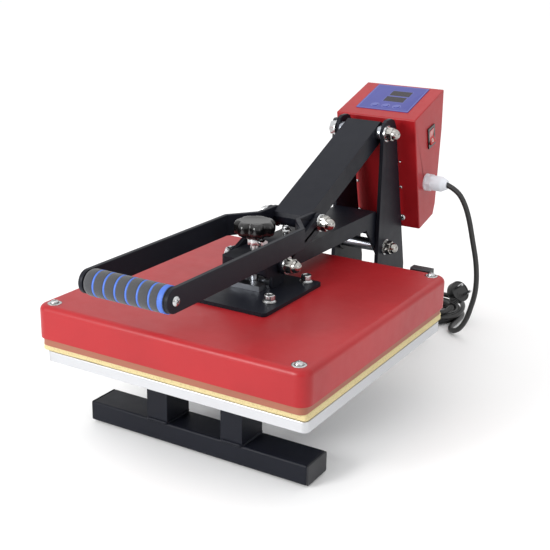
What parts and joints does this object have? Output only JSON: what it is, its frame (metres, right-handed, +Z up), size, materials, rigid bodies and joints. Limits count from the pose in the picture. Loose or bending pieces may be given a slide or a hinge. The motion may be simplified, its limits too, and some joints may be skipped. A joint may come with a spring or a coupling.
{
  "type": "heat press",
  "caption": "Clamshell heat press with a toggle-lever handle, a red covered heated platen over a padded table, and a control box with a mains lead.",
  "frame": {"origin": "middle of the machine's footprint on the bench, without its mains lead", "axes": "+Z up, -Y towards the operator's handle, +X to the operator's right"},
  "size_m": [0.3945, 0.831, 0.395],
  "materials": {
    "black_coat": "satin",
    "red_coat": "satin",
    "table_aluminium": "satin",
    "platen_coating": "matte",
    "silicone": "matte",
    "foot_rubber": "matte",
    "bright_zinc": "gloss",
    "steel": "satin",
    "black_plastic": "matte",
    "gloss_black": "gloss",
    "red_plastic": "gloss",
    "grey_nylon": "satin",
    "panel_film": "satin",
    "key_film": "satin",
    "circuit": "satin",
    "wool": "matte",
    "foam": "matte",
    "cord_jacket": "satin",
    "brass_fit": "gloss"
  },
  "bodies": {
    "base": {"foot_bars": "black_coat", "foot_caps": "black_plastic", "foot_pads": "foot_rubber", "table_posts": "black_coat", "table_rails": "black_coat", "uprights": "black_coat", "cross_plates": "black_coat", "axle_bolts": "bright_zinc", "axle_washers": "bright_zinc", "axle_cap_nuts": "bright_zinc", "link_bushes": "steel", "lower_table": "table_aluminium", "silicone_pad": "silicone", "box_shell": "red_coat", "box_back": "red_coat", "box_screws": "bright_zinc", "membrane_panel": "panel_film", "control_board": "circuit", "switch_body": "gloss_black", "cable_gland": "grey_nylon", "limit_switch": "black_plastic", "power_cord": "cord_jacket", "cord_coil": "cord_jacket", "plug_lead": "cord_jacket", "power_plug": "gloss_black", "plug_pins": "bright_zinc"},
    "press_arm": {"arm_channel": "black_coat", "arm_hub": "steel", "pressure_nut_block": "steel", "stop_bolt": "bright_zinc"},
    "heat_head": {"heat_platen": "platen_coating", "heating_element": "steel", "insulation": "wool", "platen_cover": "red_coat", "cover_screws": "bright_zinc", "head_standoffs": "steel", "base_plate": "black_coat", "plate_bolts": "bright_zinc", "guide_fork": "black_coat", "rod_keepers": "steel", "thermostat": "brass_fit", "heater_inlet": "black_plastic"},
    "pressure_screw": {"pressure_knob": "gloss_black", "pressure_rod": "bright_zinc", "rod_collar": "bright_zinc"},
    "lever": {"link_channel": "black_coat", "handle_bars": "black_coat", "link_tubes": "steel", "grip_core": "steel", "foam_grip": "foam", "grip_screws": "bright_zinc"},
    "toggle": {"toggle_plates": "black_coat", "toggle_bolts": "bright_zinc", "toggle_washers": "bright_zinc", "toggle_cap_nuts": "bright_zinc"},
    "rocker": {"power_rocker": "red_plastic"},
    "mode_button": {"mode_key": "key_film"},
    "down_button": {"down_key": "key_film"},
    "up_button": {"up_key": "key_film"},
    "switch_blade": {"limit_switch_blade": "steel"}
  },
  "joints": [
    {"name": "arm_lift", "type": "hinge", "parent": "base", "child": "press_arm", "pos_m": [0, 0.2285, 0.165], "axis": [-1, 0, 0], "range_deg": [0, 42]},
    {"name": "lever_swing", "type": "hinge", "parent": "base", "child": "lever", "pos_m": [0, 0.2135, 0.345], "axis": [-1, 0, 0], "range_deg": [0, 70.2]},
    {"name": "toggle_swing", "type": "hinge", "parent": "press_arm", "child": "toggle", "pos_m": [0, -0.0765, 0.217], "axis": [1, 0, 0], "range_deg": [0, 96.3]},
    {"name": "platen_height", "type": "slide", "parent": "press_arm", "child": "heat_head", "axis": [0, 0, 1], "range_m": [0, 0.005]},
    {"name": "pressure_turn", "type": "hinge", "parent": "heat_head", "child": "pressure_screw", "pos_m": [0, -0.09, 0.26], "axis": [0, 0, 1], "range_deg": [0, 1030]},
    {"name": "power_rocker_tilt", "type": "hinge", "parent": "base", "child": "rocker", "pos_m": [0.065, 0.323, 0.327], "axis": [0, 0.972, 0.2349], "range_deg": [0, 10]},
    {"name": "mode_press", "type": "slide", "parent": "base", "child": "mode_button", "axis": [0, 0.3016, -0.9534], "range_m": [0, 0.0005], "stiffness_N_per_m": 300},
    {"name": "down_press", "type": "slide", "parent": "base", "child": "down_button", "axis": [0, 0.3016, -0.9534], "range_m": [0, 0.0005], "stiffness_N_per_m": 300},
    {"name": "up_press", "type": "slide", "parent": "base", "child": "up_button", "axis": [0, 0.3016, -0.9534], "range_m": [0, 0.0005], "stiffness_N_per_m": 300},
    {"name": "limit_blade", "type": "hinge", "parent": "base", "child": "switch_blade", "pos_m": [-0.049, 0.2299, 0.3175], "axis": [-1, 0, 0], "range_deg": [0, 3.5], "stiffness_Nm_per_rad": 0.05}
  ],
  "couplings": [
    {"joint": "lever_swing", "follows": "arm_lift", "ratio": 1.6707},
    {"joint": "toggle_swing", "follows": "arm_lift", "ratio": 2.292},
    {"joint": "pressure_turn", "follows": "platen_height", "rad_per_m": 3590.4}
  ]
}
